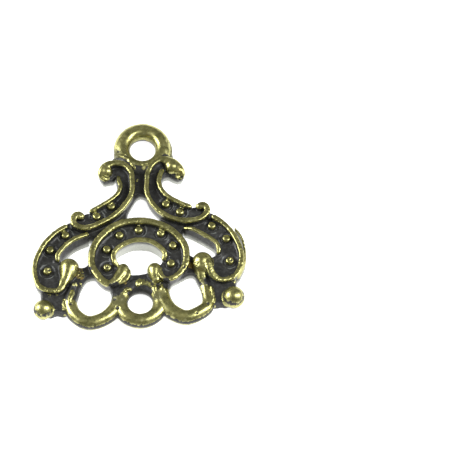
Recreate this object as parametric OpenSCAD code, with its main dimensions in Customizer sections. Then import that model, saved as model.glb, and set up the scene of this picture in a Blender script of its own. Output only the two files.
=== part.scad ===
// Chandelier connector: a one-piece cast link with a hanging ring above and three loops below.
// It lies on its flat back. +Z comes out of the ornament and +Y points at the hanging ring.
// The origin is on the back plane, in the middle of the casting's outline.

/* [Casting] */
// Width across the two wings
casting_w = 22.6; // [18:0.1:27]
// Height of the sunken webs that tie the ornaments together
web_h = 1.15; // [0.8:0.05:1.3]

/* [Rims] */
// Width of the raised rims along the outer side of the upper scrolls and the wings
rim_w = 0.56; // [0.44:0.02:0.7]
// Width of the middle scroll's outer rim, which is broader
broad_rim_w = 0.72; // [0.56:0.02:0.8]
// Width of the thinner rims along the inner side of each scroll
thin_rim_w = 0.48; // [0.4:0.02:0.6]

/* [Beads] */
// Radius of the small beads in the channels
bead_r = 0.44; // [0.3:0.02:0.5]
// How far a small bead stands above the channel floor
bead_rise = 0.34; // [0.2:0.02:0.5]

/* [Ring and loops] */
// Radius of the hole in the hanging ring
ring_hole_r = 1.42; // [1.36:0.02:1.6]
// Radius of the hole in the middle loop
loop_hole_r = 1.4; // [1.34:0.02:1.6]
// Thickness of the hanging ring's wire
ring_wire = 1.82; // [1.76:0.02:1.9]
// Thickness of the loops' wire
loop_wire = 1.6; // [1.5:0.02:1.7]

/* [Hidden] */

metal = [0.50, 0.44, 0.20];

// Width of the ornament as it is laid out below, before it is sized to casting_w
drawn_w = 22.61;
size_k = casting_w / drawn_w;
// Everything is laid out this far below the back plane and then trimmed flat
sink = 0.3;
// The round rings reach only this far below it, so their flats stay narrow
ring_sink = 0.06;
// Curve steps between two rows of a table, for the bands and for the round wires
band_steps = 2;
wire_steps = 3;
// Sides of the round section of the hanging ring and the middle loop
ring_sides = 12;
// How far below its equator a ball meets its foot, and the steps of its arc, in degrees
ball_low = 54;
ball_step = 24;
// How far the foot of a wing's inner rim spreads on either side, by the time it reaches the back
left_wing_spread = 0.36;
right_wing_spread = 0.20;
// How far a rim reaches past its channel's floor, as a part of its last stretch
rim_reach = 0.12;

// Centres of the two round holes, and where the wire runs round them
ring_at = [1.25, 9.05];
loop_at = [0.1, -9.35];
ring_mid_r = 2.22;
loop_mid_r = 2.06;

// Bands: a sunken floor between two rims.
// Columns: outer rim x, y, height, inner rim x, y, height, floor height
c_band = [
    [-3.10, -7.30, 2.00, -2.15, -4.95, 1.75, 1.30],
    [-3.85, -6.80, 2.05, -2.35, -4.75, 1.95, 1.30],
    [-4.40, -5.95, 2.08, -2.45, -4.40, 2.02, 1.35],
    [-4.75, -5.05, 2.10, -2.45, -3.90, 2.06, 1.38],
    [-4.75, -4.10, 2.12, -2.25, -3.50, 2.10, 1.42],
    [-4.55, -3.15, 2.16, -1.85, -3.10, 2.14, 1.46],
    [-4.00, -2.15, 2.20, -1.25, -2.75, 2.18, 1.50],
    [-3.15, -1.25, 2.24, -0.65, -2.50, 2.22, 1.54],
    [-2.05, -0.50, 2.30, -0.15, -2.40, 2.27, 1.58],
    [-0.65, -0.15, 2.36, 0.35, -2.40, 2.30, 1.60],
    [0.85, -0.15, 2.38, 0.90, -2.45, 2.31, 1.60],
    [2.20, -0.50, 2.37, 1.50, -2.60, 2.30, 1.60],
    [3.45, -1.15, 2.33, 2.05, -2.95, 2.26, 1.56],
    [4.40, -2.10, 2.27, 2.50, -3.35, 2.20, 1.52],
    [5.05, -3.15, 2.20, 2.85, -3.80, 2.12, 1.47],
    [5.20, -4.30, 2.14, 2.95, -4.25, 2.02, 1.42],
    [5.05, -5.30, 2.08, 2.80, -4.55, 1.85, 1.38]];
upper_left_band = [
    [-0.10, 5.95, 2.12, -1.45, 5.55, 1.75, 1.35],
    [-0.05, 5.15, 2.15, -1.40, 4.90, 1.95, 1.35],
    [-0.05, 4.15, 2.20, -1.30, 4.30, 2.05, 1.35],
    [-0.25, 3.15, 2.20, -1.60, 3.50, 2.10, 1.35],
    [-0.70, 2.35, 2.20, -2.15, 2.90, 2.12, 1.35],
    [-1.50, 1.35, 2.20, -2.95, 2.35, 2.10, 1.35],
    [-2.55, 0.50, 2.17, -3.70, 1.95, 2.05, 1.35],
    [-3.65, -0.05, 2.13, -4.55, 1.50, 1.95, 1.35]];
upper_right_band = [
    [1.60, 5.65, 2.12, 3.15, 6.10, 1.85, 1.35],
    [1.50, 4.80, 2.15, 2.85, 5.30, 1.98, 1.35],
    [1.40, 3.85, 2.20, 2.75, 4.55, 2.08, 1.35],
    [1.50, 3.00, 2.20, 2.95, 3.75, 2.12, 1.35],
    [1.85, 2.15, 2.20, 3.40, 3.00, 2.14, 1.35],
    [2.45, 1.25, 2.20, 4.10, 2.45, 2.12, 1.35],
    [3.30, 0.50, 2.20, 4.95, 1.90, 2.10, 1.35],
    [4.25, 0.00, 2.18, 5.85, 1.55, 1.95, 1.35]];
left_wing_band = [
    [-7.25, -0.20, 1.98, -5.10, -1.20, 1.85, 1.30],
    [-8.20, -0.75, 1.97, -5.80, -1.50, 1.98, 1.29],
    [-9.00, -1.45, 1.95, -6.55, -1.85, 2.02, 1.28],
    [-9.65, -2.20, 1.92, -7.35, -2.45, 2.02, 1.26],
    [-10.15, -3.05, 1.86, -7.95, -3.10, 2.01, 1.24],
    [-10.55, -3.90, 1.81, -8.30, -3.65, 1.98, 1.22],
    [-10.75, -4.75, 1.77, -8.30, -4.10, 1.85, 1.20],
    [-10.80, -5.60, 1.75, -7.70, -4.60, 1.30, 1.18],
    [-10.65, -6.55, 1.75, -7.60, -5.60, 1.25, 1.16]];
right_wing_band = [
    [8.25, 0.15, 2.05, 5.25, -0.85, 1.60, 1.35],
    [8.85, -0.30, 2.02, 5.95, -1.15, 1.98, 1.34],
    [9.50, -0.95, 1.98, 6.65, -1.60, 2.02, 1.33],
    [10.05, -1.70, 1.95, 7.35, -2.10, 2.03, 1.31],
    [10.50, -2.60, 1.91, 7.95, -2.55, 2.03, 1.29],
    [10.80, -3.50, 1.88, 8.45, -3.05, 2.00, 1.27],
    [10.95, -4.40, 1.86, 8.60, -3.65, 1.92, 1.25],
    [10.90, -5.25, 1.83, 8.55, -4.05, 1.80, 1.23],
    [10.65, -6.15, 1.80, 7.70, -4.60, 1.30, 1.21],
    [10.10, -6.95, 1.80, 7.50, -5.55, 1.30, 1.20]];
// The wings' inner rims stop this many rows short of the end of their bands
wing_bare_rows = 2;

// What each outer rim comes out of, or runs on to past its band: a round head, a hook or a curl.
// Columns: x, y, rim height, half the rim's width
upper_left_hook = [
    [-2.85, 5.70, 1.35, 0.34], [-3.10, 5.85, 1.75, 0.42],
    [-3.12, 6.25, 2.00, 0.47], [-2.80, 6.80, 2.10, 0.45],
    [-2.15, 7.10, 2.12, 0.36], [-1.40, 7.15, 2.12, 0.31],
    [-0.70, 6.85, 2.12, 0.29]];
upper_left_curl = [
    [-4.45, -0.40, 2.12, 0.30], [-5.20, -0.55, 2.12, 0.30],
    [-5.85, -0.40, 2.12, 0.31], [-6.35, -0.05, 2.14, 0.33],
    [-6.45, 0.45, 2.16, 0.34], [-6.30, 0.85, 2.18, 0.37],
    [-5.95, 1.05, 2.20, 0.43], [-5.60, 0.90, 2.16, 0.42]];
upper_right_hook = [
    [5.00, 5.50, 1.35, 0.34], [5.12, 5.75, 1.80, 0.46],
    [4.85, 6.30, 2.05, 0.60], [4.35, 6.85, 2.12, 0.68],
    [3.75, 7.20, 2.14, 0.54], [3.10, 7.35, 2.12, 0.33],
    [2.55, 7.10, 2.12, 0.27], [2.05, 6.60, 2.12, 0.26]];
upper_right_curl = [
    [5.15, -0.20, 2.14, 0.31], [5.90, -0.20, 2.12, 0.31],
    [6.60, -0.10, 2.12, 0.31], [7.20, 0.20, 2.12, 0.31],
    [7.60, 0.70, 2.15, 0.33], [7.60, 1.25, 2.18, 0.35],
    [7.25, 1.55, 2.20, 0.37], [6.80, 1.45, 2.16, 0.38]];
middle_left_end = [
    [-1.50, -5.55, 2.12, 0.64], [-1.65, -5.95, 2.14, 0.64],
    [-1.95, -6.40, 2.10, 0.56], [-2.40, -6.95, 2.03, 0.40]];
middle_right_end = [
    [4.70, -6.05, 2.04, 0.31], [4.15, -6.65, 2.00, 0.30],
    [3.60, -7.00, 1.98, 0.28], [3.00, -7.10, 1.98, 0.26],
    [2.60, -6.85, 1.98, 0.26], [2.35, -6.40, 2.00, 0.27],
    [2.25, -5.85, 2.05, 0.28]];
left_wing_end = [
    [-10.35, -7.15, 1.75, 0.29], [-9.80, -7.55, 1.75, 0.28],
    [-9.35, -7.70, 1.78, 0.27], [-8.80, -7.80, 1.80, 0.28],
    [-8.35, -7.75, 1.85, 0.31], [-8.00, -7.35, 1.92, 0.38],
    [-7.80, -6.85, 2.02, 0.48], [-7.55, -6.35, 2.14, 0.64],
    [-7.35, -5.80, 2.28, 0.84], [-7.20, -5.35, 2.38, 0.98]];
right_wing_end = [
    [9.45, -7.30, 1.80, 0.28], [8.75, -7.40, 1.85, 0.27],
    [8.15, -7.20, 1.93, 0.27], [7.75, -6.75, 2.06, 0.34],
    [7.54, -6.20, 2.28, 0.38], [7.46, -5.60, 2.42, 0.40]];

// Ridges that stand alone, with the same columns: the second lobe and the long head of the middle scroll,
// the tail under the right wing's ball, and the thin flash left along the right edge
second_lobe = [
    [-0.98, -5.85, 1.92, 0.26], [-1.02, -6.40, 1.92, 0.27],
    [-1.35, -6.90, 1.88, 0.26], [-1.90, -7.20, 1.80, 0.22],
    [-2.60, -7.45, 1.72, 0.18]];
long_head = [
    [1.78, -5.72, 2.14, 0.80], [1.84, -6.30, 2.02, 0.72],
    [1.92, -6.85, 1.76, 0.48]];
right_tail = [
    [6.86, -5.50, 2.34, 0.92], [6.80, -6.05, 2.06, 0.70],
    [6.86, -6.65, 1.74, 0.48], [7.00, -7.25, 1.40, 0.28]];
flash = [
    [10.45, -1.20, 1.55, 0.11], [10.92, -1.85, 1.52, 0.13],
    [11.25, -2.65, 1.45, 0.14], [11.35, -3.60, 1.30, 0.14],
    [11.30, -4.55, 1.30, 0.15], [11.15, -5.40, 1.30, 0.15],
    [10.85, -6.20, 1.30, 0.14], [10.50, -6.85, 1.30, 0.12]];

// Balls that the outer rims end in or touch. Columns: x, y, height of the centre, radius
volute_balls = [
    [-1.50, -5.55, 1.48, 0.64],
    [1.78, -5.72, 1.34, 0.80],
    [-5.70, 0.95, 1.76, 0.42],
    [6.80, 1.45, 1.78, 0.38],
    [-7.15, -5.05, 1.40, 1.04],
    [6.90, -5.05, 1.39, 1.07],
    [-2.70, 6.40, 1.46, 0.66],
    [4.24, 6.60, 1.44, 0.76]];

// The wires of the two outer loops. Columns: x, y, height of the wire's centre, radius
left_loop_wire = [
    [-6.55, -6.80, 1.15, 0.45], [-6.95, -7.70, 0.95, 0.58],
    [-7.25, -8.75, 0.80, 0.72], [-6.85, -10.30, 0.74, 0.77],
    [-5.50, -11.36, 0.74, 0.77], [-3.75, -10.95, 0.74, 0.78],
    [-2.45, -9.70, 0.76, 0.80], [-2.10, -8.20, 0.80, 0.70]];
right_loop_wire = [
    [6.50, -6.50, 1.15, 0.48], [6.92, -7.50, 0.94, 0.46],
    [7.08, -8.60, 0.88, 0.50], [7.18, -9.60, 0.78, 0.66],
    [6.75, -10.45, 0.74, 0.76], [4.95, -11.25, 0.74, 0.80],
    [3.45, -10.55, 0.74, 0.84], [2.60, -9.40, 0.76, 0.90],
    [2.40, -8.00, 0.80, 0.80]];

// Balls on the outer corners. Columns: x, y, height of the centre, radius
corner_balls = [
    [-10.10, -9.70, 1.05, 1.03],
    [9.90, -9.30, 1.16, 1.16]];

// Small beads in the channels. Columns: x, y, floor height
beads = [
    [-3.15, -5.20, 1.34], [-3.10, -3.05, 1.44], [-1.70, -1.45, 1.52], [0.35, -0.95, 1.60],
    [2.65, -1.45, 1.57], [3.85, -2.95, 1.48], [3.55, -5.05, 1.38], [-2.35, 2.20, 1.35],
    [-3.95, 1.05, 1.35], [3.35, 2.15, 1.35], [4.80, 1.15, 1.35], [-7.35, -1.00, 1.28],
    [-9.05, -2.70, 1.24], [-9.45, -5.20, 1.18], [8.05, -0.70, 1.33], [9.50, -2.30, 1.28],
    [9.70, -4.95, 1.21]];

// Sunken webs between the ornaments: how much higher than web_h, then the plan outline
webs = [
    // neck
    [0.00, [[-0.45, 7.20], [1.90, 7.20], [1.80, 4.40], [1.80, 3.20], [2.20, 2.20],
     [1.55, 2.75], [1.40, 3.20], [1.10, 3.55], [0.75, 3.68], [0.45, 3.55],
     [0.15, 3.20], [-0.15, 2.60], [-0.75, 2.20], [-0.40, 3.20], [-0.30, 4.40]]],
    // left ear
    [0.05, [[-2.05, 8.30], [-0.50, 8.10], [0.20, 6.60], [-1.50, 6.70], [-2.10, 7.20]]],
    // right ear
    [0.05, [[2.20, 6.90], [2.20, 8.40], [4.35, 8.80], [4.45, 8.10], [4.20, 7.30],
     [3.60, 6.90]]],
    // left hook
    [0.15, [[-0.20, 6.30], [-0.30, 5.30], [-1.30, 5.30], [-1.50, 5.40], [-1.70, 5.85],
     [-2.00, 5.50], [-2.55, 5.45], [-3.05, 5.30], [-3.30, 5.80], [-2.95, 6.70],
     [-2.20, 7.05], [-1.40, 7.10], [-0.60, 6.80]]],
    // right hook
    [0.10, [[1.80, 6.60], [1.90, 5.30], [2.70, 5.30], [3.20, 5.60], [3.45, 5.75],
     [3.80, 5.80], [4.20, 5.50], [4.80, 5.20], [5.20, 5.45], [5.00, 6.20],
     [4.40, 6.90], [3.70, 7.20], [3.00, 7.30], [2.40, 7.00]]],
    // left shoulder
    [0.00, [[0.10, 3.15], [-0.68, 1.62], [-0.90, 0.05], [-2.60, -0.60], [-4.10, -1.95],
     [-4.60, -1.40], [-5.20, -1.45], [-7.00, -1.60], [-8.20, -0.90], [-7.60, 0.15],
     [-7.00, 0.75], [-6.20, 0.75], [-4.90, 0.10], [-1.50, 1.60], [-0.40, 3.00]]],
    // right shoulder
    [0.00, [[1.60, 3.10], [2.48, 1.65], [2.62, 0.90], [2.45, -0.35], [3.50, -1.20],
     [4.60, -2.50], [4.95, -1.00], [5.30, -0.85], [6.20, -1.20], [8.20, -1.20],
     [8.90, -0.20], [8.55, 0.60], [8.25, 1.15], [7.70, 1.10], [6.00, 0.20],
     [2.60, 1.50], [1.75, 2.60]]],
    // left joint
    [0.00, [[-4.55, -3.90], [-5.10, -4.35], [-5.50, -4.75], [-6.20, -4.80], [-6.80, -5.40],
     [-7.60, -7.00], [-7.40, -9.00], [-6.60, -9.10], [-6.32, -8.30], [-6.07, -7.40],
     [-5.62, -6.50], [-5.30, -6.10], [-4.72, -5.93], [-4.30, -6.00], [-3.80, -6.40],
     [-4.20, -5.00]]],
    // right joint
    [0.00, [[5.00, -3.00], [5.60, -3.80], [6.10, -4.20], [6.80, -4.80], [7.60, -6.60],
     [7.60, -8.60], [7.20, -9.40], [6.62, -8.60], [6.42, -7.65], [6.15, -6.95],
     [5.90, -6.25], [5.48, -6.15], [5.05, -6.30], [4.45, -6.70], [4.10, -6.50],
     [4.80, -5.00]]],
    // bar under the middle scroll
    [0.00, [[-2.40, -5.80], [-0.60, -5.92], [0.25, -5.92], [0.85, -5.80], [2.60, -5.80],
     [4.60, -6.30], [4.45, -6.72], [3.95, -6.90], [3.50, -7.20], [3.25, -7.80],
     [2.70, -8.40], [1.60, -7.70], [-1.40, -7.70], [-2.60, -8.60], [-2.90, -8.05],
     [-3.00, -7.45], [-3.60, -6.70], [-3.20, -6.30]]],
    // left end of the middle scroll
    [0.15, [[-3.80, -6.80], [-3.10, -7.30], [-2.40, -7.05], [-1.90, -6.50], [-1.50, -5.80],
     [-2.10, -4.90], [-3.50, -5.20]]],
    // right end of the middle scroll
    [0.19, [[5.00, -5.30], [4.70, -6.05], [4.15, -6.65], [3.60, -7.00], [3.00, -7.10],
     [2.55, -6.85], [2.20, -6.20], [1.95, -5.40], [2.40, -4.90], [2.70, -4.40]]],
    // left wing's end
    [0.00, [[-10.60, -6.60], [-10.30, -7.15], [-9.80, -7.55], [-8.80, -7.78], [-8.30, -7.70],
     [-7.80, -6.90], [-7.40, -5.60], [-7.50, -4.60], [-9.00, -5.40]]],
    // right wing's end
    [0.03, [[10.10, -6.90], [9.45, -7.30], [8.75, -7.40], [8.15, -7.20], [7.75, -6.75],
     [7.50, -6.10], [7.20, -5.10], [7.60, -4.60], [9.00, -5.20]]],
    // left corner
    [-0.05, [[-10.30, -7.10], [-7.00, -7.20], [-7.10, -9.90], [-8.05, -10.25], [-8.60, -9.98],
     [-9.40, -10.35], [-10.30, -9.20]]],
    // right corner
    [-0.05, [[7.00, -6.90], [10.60, -6.70], [10.25, -7.40], [10.35, -8.30], [9.60, -9.80],
     [8.94, -10.00], [8.50, -9.86], [8.10, -10.00], [7.20, -9.90]]],
    // left curl
    [0.20, [[-3.60, 0.00], [-4.45, -0.40], [-5.20, -0.50], [-5.85, -0.40], [-6.35, 0.00],
     [-6.45, 0.60], [-6.10, 1.10], [-5.50, 1.40], [-5.05, 1.65], [-4.50, 1.60]]],
    // right curl
    [0.20, [[4.20, 0.05], [5.15, -0.18], [5.90, -0.20], [6.60, -0.10], [7.20, 0.20],
     [7.60, 0.80], [7.40, 1.50], [6.70, 1.80], [6.20, 1.85], [5.80, 1.70]]]];

// A point between rows b and c on the smooth curve through four table rows
function blend(a, b, c, d, t) =
    0.5 * (2 * b + (c - a) * t + (2 * a - 5 * b + 4 * c - d) * t * t + (3 * b - 3 * c + d - a) * t * t * t);

// The smooth curve through all rows of a table, with every column carried along
function curve(rows, steps) = concat(
    [for (i = [0 : len(rows) - 2])
        for (k = [0 : steps - 1])
            blend(rows[max(i - 1, 0)], rows[i], rows[i + 1], rows[min(i + 2, len(rows) - 1)], k / steps)],
    [rows[len(rows) - 1]]);

// Unit direction of a path in plan
function heading(path, i) =
    let (d = path[min(i + 1, len(path) - 1)] - path[max(i - 1, 0)])
    [d.x, d.y] / norm([d.x, d.y]);

// One ring of points across a path from a section of [side, height] pairs
function ring_across(path, i, section) =
    let (h = heading(path, i))
    [for (p = section) [path[i].x + h.y * p[0], path[i].y - h.x * p[0], p[1]]];

// Section of a rim that stands on the back plane and has a round crest. Its foot may spread.
function rim_section(half_w, crest, spread) = concat(
    [[half_w + spread, -sink]],
    [for (a = [0 : 60 : 180]) [half_w * cos(a), crest - half_w + half_w * sin(a)]],
    [[-half_w - spread, -sink]]);

// Section of a round wire
function wire_section(mid_z, r) =
    [for (a = [22.5 : 45 : 337.5]) [r * sin(a), mid_z - r * cos(a)]];

// A solid through rings of points that all have the same count
module loft(rings) {
    n = len(rings[0]);
    last = len(rings) - 1;
    sides = [for (i = [0 : last - 1])
        for (k = [0 : n - 1])
            let (a = i * n + k, b = i * n + (k + 1) % n)
            each [[a, b, b + n], [a, b + n, a + n]]];
    near_end = [for (k = [n - 1 : -1 : 0]) k];
    far_end = [for (k = [0 : n - 1]) last * n + k];
    polyhedron([for (r = rings) each r], concat([near_end], sides, [far_end]));
}

// A raised rim along a table of [x, y, height, half width]
module rim(rows, spread = 0) {
    path = curve(rows, band_steps);
    loft([for (i = [0 : len(path) - 1]) ring_across(path, i, rim_section(path[i][3], path[i][2], spread))]);
}

// A round wire along a table of [x, y, centre height, radius]
module wire(rows) {
    path = curve(rows, wire_steps);
    loft([for (i = [0 : len(path) - 1]) ring_across(path, i, wire_section(path[i][2], path[i][3]))]);
}

// The sunken floor between the two rims of a band, whichever side of the outer rim the inner one is on
module channel_floor(rows) {
    ahead = rows[1] - rows[0];
    across = [rows[0][3] - rows[0][0], rows[0][4] - rows[0][1]];
    inner_on_left = cross([ahead[0], ahead[1]], across) > 0;
    loft([for (p = curve(rows, band_steps))
        let (outer = [[p[0], p[1], -sink], [p[0], p[1], p[6]]],
             inner = [[p[3], p[4], p[6]], [p[3], p[4], -sink]],
             around = concat(outer, inner))
        inner_on_left ? around : [for (k = [3 : -1 : 0]) around[k]]]);
}

// A table whose first and last rows are moved on a little, so that a rim reaches past its channel's floor
function longer(rows) =
    let (n = len(rows) - 1)
    [for (i = [0 : n])
        i == 0 ? rows[0] + rim_reach * (rows[0] - rows[1])
        : i == n ? rows[n] + rim_reach * (rows[n] - rows[n - 1])
        : rows[i]];

// A whole band: floor, outer rim with what it comes out of and runs on to, and the thinner inner rim,
// which stops bare_rows short of the end and may have a foot that spreads
module band(rows, before = [], after = [], outer_w = rim_w, bare_rows = 0, spread = 0) {
    channel_floor(rows);
    rim(longer(concat(before, [for (p = rows) [p[0], p[1], p[2], outer_w / 2]], after)));
    rim(longer([for (i = [0 : len(rows) - 1 - bare_rows])
        let (p = rows[i]) [p[3], p[4], p[5], thin_rim_w / 2]]), spread);
}

// Half the outline of a domed ball on a foot that reaches below the back plane
function ball_outline(r, mid_z) = concat(
    [[0, -sink], [r * cos(ball_low), -sink]],
    [for (a = [-ball_low : ball_step : 90 - ball_step]) [r * cos(a), mid_z + r * sin(a)]],
    [[0, mid_z + r]]);

// Half the outline of a small bead with rounded shoulders and a flat top, rooted in the floor
function bead_outline(r, floor_z) =
    [[0, floor_z - sink], [r, floor_z - sink], [r, floor_z + 0.35 * bead_rise],
     [0.82 * r, floor_z + 0.8 * bead_rise], [0.5 * r, floor_z + bead_rise], [0, floor_z + bead_rise]];

// A ball that stands on the back plane on its own foot
module ball(at_x, at_y, mid_z, r) {
    translate([at_x, at_y, 0])
        rotate_extrude($fn = 16) polygon(ball_outline(r, mid_z));
}

// A ring of round wire, standing a little into the back plane so that it rests flat.
// Its section is turned by half a facet, so that the hole is cut through facets and not along their edges.
module wire_ring(at, mid_r, thickness) {
    translate([at.x, at.y, thickness / 2 - ring_sink])
        rotate_extrude($fn = 36)
            translate([mid_r, 0])
                rotate(180 / ring_sides)
                    circle(d = thickness, $fn = ring_sides);
}

module hanging_ring() {
    wire_ring(ring_at, ring_mid_r, ring_wire);
}

module lower_loops() {
    wire_ring(loop_at, loop_mid_r, loop_wire);
    wire(left_loop_wire);
    wire(right_loop_wire);
}

module upper_scrolls() {
    band(upper_left_band, before = upper_left_hook, after = upper_left_curl);
    band(upper_right_band, before = upper_right_hook, after = upper_right_curl);
}

module middle_scroll() {
    band(c_band, before = middle_left_end, after = middle_right_end, outer_w = broad_rim_w);
    rim(second_lobe);
    rim(long_head);
}

module wings() {
    band(left_wing_band, after = left_wing_end, bare_rows = wing_bare_rows, spread = left_wing_spread);
    band(right_wing_band, after = right_wing_end, bare_rows = wing_bare_rows, spread = right_wing_spread);
    rim(right_tail);
    rim(flash);
}

module volute_ends() {
    for (b = volute_balls)
        ball(b[0], b[1], b[2], b[3]);
}

module end_balls() {
    for (b = corner_balls)
        ball(b[0], b[1], b[2], b[3]);
}

module channel_beads() {
    for (b = beads)
        translate([b[0], b[1], 0])
            rotate_extrude($fn = 10) polygon(bead_outline(bead_r, b[2]));
}

module web_plates() {
    for (w = webs)
        translate([0, 0, -sink])
            linear_extrude(web_h + w[0] + sink) polygon(w[1]);
}

// The whole relief, trimmed flat at the back plane
module relief() {
    intersection() {
        union() {
            hanging_ring();
            lower_loops();
            upper_scrolls();
            middle_scroll();
            wings();
            volute_ends();
            end_balls();
            channel_beads();
            web_plates();
        }
        translate([-casting_w, -casting_w, 0]) cube([2 * casting_w, 2 * casting_w, casting_w]);
    }
}

// A round hole straight through a ring or loop
module hole(at, r) {
    translate([at.x * size_k, at.y * size_k, -1]) cylinder(r = r, h = 5, $fn = 48);
}

module casting() {
    color(metal)
        difference() {
            resize([casting_w, 0, 0], auto = true) relief();
            hole(ring_at, ring_hole_r);
            hole(loop_at, loop_hole_r);
        }
}

casting();
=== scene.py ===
import bpy
import bmesh
import math
import numpy as np
from mathutils import Matrix, Vector, noise
from mathutils.kdtree import KDTree


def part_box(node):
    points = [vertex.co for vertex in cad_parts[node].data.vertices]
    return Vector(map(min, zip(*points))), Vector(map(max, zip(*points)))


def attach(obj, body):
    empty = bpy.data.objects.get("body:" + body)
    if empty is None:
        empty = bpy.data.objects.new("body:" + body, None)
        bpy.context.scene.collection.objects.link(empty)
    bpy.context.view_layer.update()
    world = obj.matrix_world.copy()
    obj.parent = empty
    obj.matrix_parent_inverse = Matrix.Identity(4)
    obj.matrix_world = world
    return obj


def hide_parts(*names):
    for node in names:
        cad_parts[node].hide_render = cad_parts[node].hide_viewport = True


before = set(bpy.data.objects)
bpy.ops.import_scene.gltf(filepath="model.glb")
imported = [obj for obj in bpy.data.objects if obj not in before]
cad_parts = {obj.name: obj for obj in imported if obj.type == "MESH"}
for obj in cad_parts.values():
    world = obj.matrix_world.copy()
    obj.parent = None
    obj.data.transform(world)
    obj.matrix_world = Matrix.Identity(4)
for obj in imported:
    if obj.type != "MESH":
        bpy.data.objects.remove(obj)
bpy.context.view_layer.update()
cadLow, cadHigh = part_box("casting")
print("frame loaded")

# The casting is laid out in millimetres, face up, and scaled to metres when it is whole
casting = {
    "drawnWidth": 22.6,      # across both wings
    "voxel": 0.07,
    "softening": 4,          # smoothing passes that round every inner corner
    "mostTriangles": 192000,
    "waviness": 0.010,       # unevenness left by the mould, and how far apart its bumps are
    "wavinessPitch": 0.55,
    "nibble": 0.026,         # ragged edges of the rims
    "nibblePitch": 0.22,
    "roundSides": 32,        # sides of the round sections before they are fused
    "rimSides": 20,
    "wireSides": 24,
    "ballRows": 20,
    "ringSteps": 72,
}

# Bands: a sunken floor between two rims.
# Columns: outer rim x, y, height, inner rim x, y, height, floor height
bands = {
    "middle": [
        (-3.10, -7.30, 2.00, -2.15, -4.95, 1.75, 1.30),
        (-3.85, -6.80, 2.05, -2.35, -4.75, 1.95, 1.30),
        (-4.40, -5.95, 2.08, -2.45, -4.40, 2.02, 1.35),
        (-4.75, -5.05, 2.10, -2.45, -3.90, 2.06, 1.38),
        (-4.75, -4.10, 2.12, -2.25, -3.50, 2.10, 1.42),
        (-4.55, -3.15, 2.16, -1.85, -3.10, 2.14, 1.46),
        (-4.00, -2.15, 2.20, -1.25, -2.75, 2.18, 1.50),
        (-3.15, -1.25, 2.24, -0.65, -2.50, 2.22, 1.54),
        (-2.05, -0.50, 2.30, -0.15, -2.40, 2.27, 1.58),
        (-0.65, -0.15, 2.36, 0.35, -2.40, 2.30, 1.60),
        (0.85, -0.15, 2.38, 0.90, -2.45, 2.31, 1.60),
        (2.20, -0.50, 2.37, 1.50, -2.60, 2.30, 1.60),
        (3.45, -1.15, 2.33, 2.05, -2.95, 2.26, 1.56),
        (4.40, -2.10, 2.27, 2.50, -3.35, 2.20, 1.52),
        (5.05, -3.15, 2.20, 2.85, -3.80, 2.12, 1.47),
        (5.20, -4.30, 2.14, 2.95, -4.25, 2.02, 1.42),
        (5.05, -5.30, 2.08, 2.80, -4.55, 1.85, 1.38),
    ],
    "upperLeft": [
        (-0.10, 5.95, 2.12, -1.45, 5.55, 1.75, 1.35),
        (-0.05, 5.15, 2.15, -1.40, 4.90, 1.95, 1.35),
        (-0.05, 4.15, 2.20, -1.30, 4.30, 2.05, 1.35),
        (-0.25, 3.15, 2.20, -1.60, 3.50, 2.10, 1.35),
        (-0.70, 2.35, 2.20, -2.15, 2.90, 2.12, 1.35),
        (-1.50, 1.35, 2.20, -2.95, 2.35, 2.10, 1.35),
        (-2.55, 0.50, 2.17, -3.70, 1.95, 2.05, 1.35),
        (-3.65, -0.05, 2.13, -4.55, 1.50, 1.95, 1.35),
    ],
    "upperRight": [
        (1.60, 5.65, 2.12, 3.15, 6.10, 1.85, 1.35),
        (1.50, 4.80, 2.15, 2.85, 5.30, 1.98, 1.35),
        (1.40, 3.85, 2.20, 2.75, 4.55, 2.08, 1.35),
        (1.50, 3.00, 2.20, 2.95, 3.75, 2.12, 1.35),
        (1.85, 2.15, 2.20, 3.40, 3.00, 2.14, 1.35),
        (2.45, 1.25, 2.20, 4.10, 2.45, 2.12, 1.35),
        (3.30, 0.50, 2.20, 4.95, 1.90, 2.10, 1.35),
        (4.25, 0.00, 2.18, 5.85, 1.55, 1.95, 1.35),
    ],
    "leftWing": [
        (-7.25, -0.20, 1.98, -5.10, -1.20, 1.85, 1.30),
        (-8.20, -0.75, 1.97, -5.80, -1.50, 1.98, 1.29),
        (-9.00, -1.45, 1.95, -6.55, -1.85, 2.02, 1.28),
        (-9.65, -2.20, 1.92, -7.35, -2.45, 2.02, 1.26),
        (-10.15, -3.05, 1.86, -7.95, -3.10, 2.01, 1.24),
        (-10.55, -3.90, 1.81, -8.30, -3.65, 1.98, 1.22),
        (-10.75, -4.75, 1.77, -8.30, -4.10, 1.85, 1.20),
        (-10.80, -5.60, 1.75, -7.70, -4.60, 1.30, 1.18),
        (-10.65, -6.55, 1.75, -7.60, -5.60, 1.25, 1.16),
    ],
    "rightWing": [
        (8.25, 0.15, 2.05, 5.25, -0.85, 1.60, 1.35),
        (8.85, -0.30, 2.02, 5.95, -1.15, 1.98, 1.34),
        (9.50, -0.95, 1.98, 6.65, -1.60, 2.02, 1.33),
        (10.05, -1.70, 1.95, 7.35, -2.10, 2.03, 1.31),
        (10.50, -2.60, 1.91, 7.95, -2.55, 2.03, 1.29),
        (10.80, -3.50, 1.88, 8.45, -3.05, 2.00, 1.27),
        (10.95, -4.40, 1.86, 8.60, -3.65, 1.92, 1.25),
        (10.90, -5.25, 1.83, 8.55, -4.05, 1.80, 1.23),
        (10.65, -6.15, 1.80, 7.70, -4.60, 1.30, 1.21),
        (10.10, -6.95, 1.80, 7.50, -5.55, 1.30, 1.20),
    ],
}

# How many rows of a band have an inner rim, counted from its first: the wings' stop short of the volutes
innerRows = {"middle": 17, "upperLeft": 8, "upperRight": 8, "leftWing": 7, "rightWing": 8}

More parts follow.
